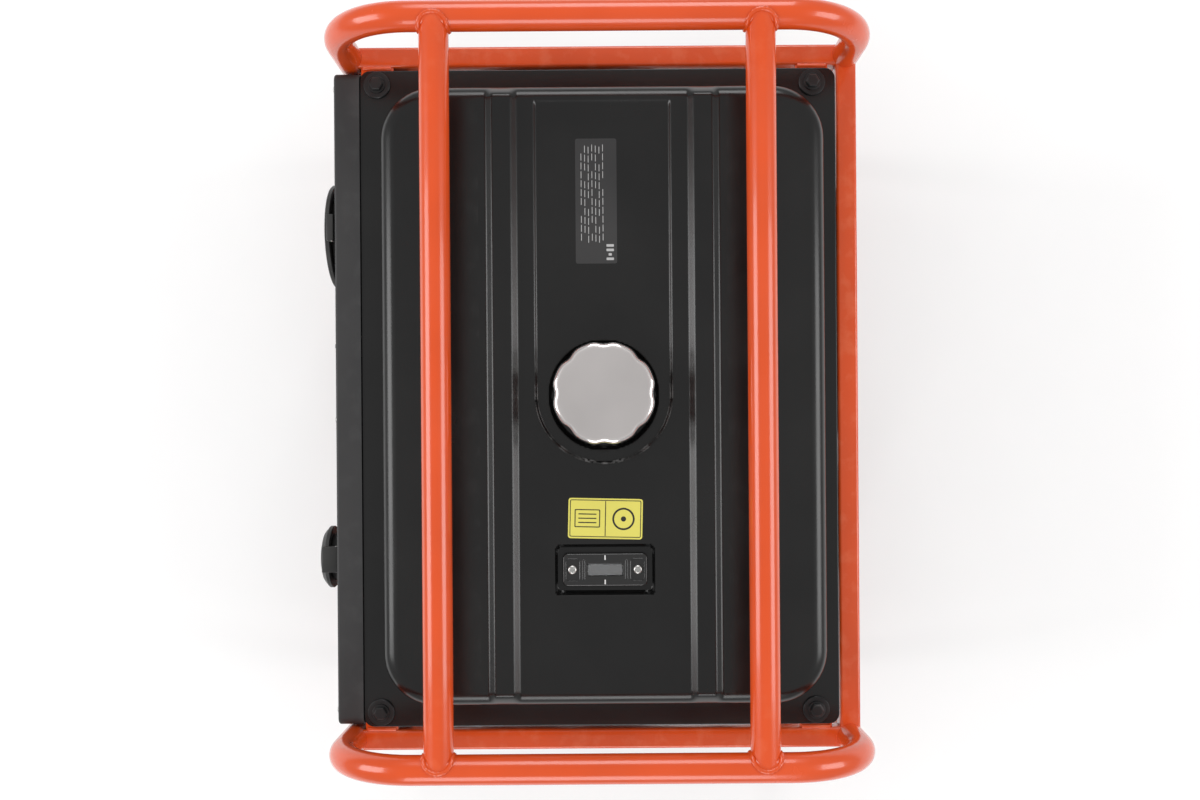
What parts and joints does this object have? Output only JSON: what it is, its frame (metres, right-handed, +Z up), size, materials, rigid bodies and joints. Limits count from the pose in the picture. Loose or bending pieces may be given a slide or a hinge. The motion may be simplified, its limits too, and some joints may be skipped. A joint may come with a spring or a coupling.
{
  "type": "portable generator",
  "caption": "Open-frame petrol generator: tubular hoop frame, top fuel tank with screw cap, front socket panel, slanted engine with recoil starter, muffler and alternator.",
  "frame": {"origin": "middle of the outline at floor level", "axes": "+X along the crankshaft towards the recoil starter, +Y towards the muffler side, +Z up; the socket panel faces -Y"},
  "size_m": [0.7, 0.5534, 0.56],
  "materials": {
    "orange_paint": "glossy orange powder coat",
    "black_paint": "satin black powder coat",
    "panel_paint": "matt dark grey powder coat",
    "black_plastic": "matt black plastic",
    "rubber": "black rubber",
    "cap_chrome": "polished plated steel",
    "cast_alloy": "as-cast aluminium",
    "dark_steel": "dark heat-proof coating",
    "bright_steel": "bright zinc-plated steel",
    "clear_plastic": "clear moulded plastic",
    "windings": "varnished copper windings on laminations"
  },
  "bodies": {
    "machine": {"hoop_left": "orange_paint", "hoop_right": "orange_paint", "carrying_bar_front": "orange_paint", "carrying_bar_rear": "orange_paint", "tank_crossbar_left": "orange_paint", "tank_crossbar_right": "orange_paint", "tank_rail_rear": "orange_paint", "base_rail_front": "orange_paint", "base_rail_rear": "orange_paint", "base_beam_alternator": "orange_paint", "base_beam_engine": "orange_paint", "foot_left_front": "rubber", "foot_left_rear": "rubber", "foot_right_front": "rubber", "foot_right_rear": "rubber", "alternator_mount_front": "rubber", "alternator_mount_rear": "rubber", "engine_mount_front": "rubber", "engine_mount_rear": "rubber", "tank_upper_shell": "black_paint", "tank_lower_shell": "black_paint", "tank_bolt_left_front": "dark_steel", "tank_bolt_left_rear": "dark_steel", "tank_bolt_right_front": "dark_steel", "tank_bolt_right_rear": "dark_steel", "gauge_housing": "black_plastic", "gauge_lens": "clear_plastic", "fuel_tap_body": "cast_alloy", "fuel_hose": "rubber", "panel_shell": "panel_paint", "large_socket_body": "black_plastic", "small_socket_body": "black_plastic", "breaker_body": "black_plastic", "crankcase": "cast_alloy", "cylinder_head": "cast_alloy", "valve_cover": "cast_alloy", "fan_shroud": "black_paint", "starter_cover": "black_paint", "air_box": "black_plastic", "carburettor": "cast_alloy", "muffler": "dark_steel", "muffler_guard": "dark_steel", "stator_housing": "cast_alloy", "alternator_end_cover": "black_paint"},
    "cap_seal": {"fuel_cap_seal": "rubber"},
    "cap": {"fuel_cap": "cap_chrome"},
    "float": {"gauge_float": "black_plastic"},
    "tap_lever": {"fuel_tap_lever": "bright_steel"},
    "large_lid": {"large_socket_lid": "black_plastic"},
    "small_lid": {"small_socket_lid": "black_plastic"},
    "toggle": {"breaker_toggle": "black_plastic"},
    "key": {"ignition_key": "bright_steel"},
    "crank_train": {"crankshaft": "bright_steel", "flywheel_fan": "dark_steel", "rotor": "windings"},
    "piston_body": {"piston": "cast_alloy"},
    "pulley": {"starter_pulley": "black_plastic"},
    "handle": {"starter_handle": "black_plastic"},
    "dipstick": {"oil_dipstick": "black_plastic"},
    "choke": {"choke_lever": "bright_steel"}
  },
  "joints": [
    {"name": "cap_lift", "type": "slide", "parent": "machine", "child": "cap_seal", "axis": [0, 0, 1], "range_m": [0, 0.08]},
    {"name": "cap_turn", "type": "hinge", "parent": "cap_seal", "child": "cap", "pos_m": [0, 0.01575, 0.51], "axis": [0, 0, 1], "range_deg": [0, 90]},
    {"name": "gauge_float_swing", "type": "hinge", "parent": "machine", "child": "float", "pos_m": [0.165, 0.01575, 0.47], "axis": [1, 0, 0], "range_deg": [0, 22]},
    {"name": "fuel_tap_turn", "type": "hinge", "parent": "machine", "child": "tap_lever", "pos_m": [0.268, -0.09325, 0.352], "axis": [1, 0, 0], "range_deg": [0, 90]},
    {"name": "large_lid_hinge", "type": "hinge", "parent": "machine", "child": "large_lid", "pos_m": [-0.171, -0.25375, 0.422], "axis": [-1, 0, 0], "range_deg": [0, 100], "stiffness_Nm_per_rad": 0.03, "springref_deg": -57.3},
    {"name": "small_lid_hinge", "type": "hinge", "parent": "machine", "child": "small_lid", "pos_m": [0.161, -0.25675, 0.399], "axis": [-1, 0, 0], "range_deg": [0, 100], "stiffness_Nm_per_rad": 0.015, "springref_deg": -57.3},
    {"name": "breaker_switch", "type": "hinge", "parent": "machine", "child": "toggle", "pos_m": [0.062, -0.24175, 0.366], "axis": [-1, 0, 0], "range_deg": [0, 30]},
    {"name": "key_turn", "type": "hinge", "parent": "machine", "child": "key", "pos_m": [-0.062, -0.25, 0.318], "axis": [0, 1, 0], "range_deg": [0, 90]},
    {"name": "crank_spin", "type": "hinge", "parent": "machine", "child": "crank_train", "pos_m": [0.13, -0.02325, 0.19], "axis": [1, 0, 0], "continuous": true},
    {"name": "piston_slide", "type": "slide", "parent": "machine", "child": "piston_body", "axis": [0, -0.9063, -0.4226], "range_m": [0, 0.045]},
    {"name": "starter_pull", "type": "slide", "parent": "machine", "child": "handle", "axis": [0, -1, 0], "range_m": [0, 0.45], "stiffness_N_per_m": 20, "springref_m": -0.5},
    {"name": "starter_pulley_spin", "type": "hinge", "parent": "machine", "child": "pulley", "pos_m": [0.29, -0.02325, 0.19], "axis": [1, 0, 0], "range_deg": [0, 580]},
    {"name": "dipstick_pull", "type": "slide", "parent": "machine", "child": "dipstick", "axis": [0, -1, 0], "range_m": [0, 0.07]},
    {"name": "choke_turn", "type": "hinge", "parent": "machine", "child": "choke", "pos_m": [0.2358, 0.15, 0.295], "axis": [0, 0, 1], "range_deg": [0, 25]}
  ],
  "couplings": [
    {"joint": "starter_pulley_spin", "follows": "starter_pull", "rad_per_m": 22.222}
  ]
}
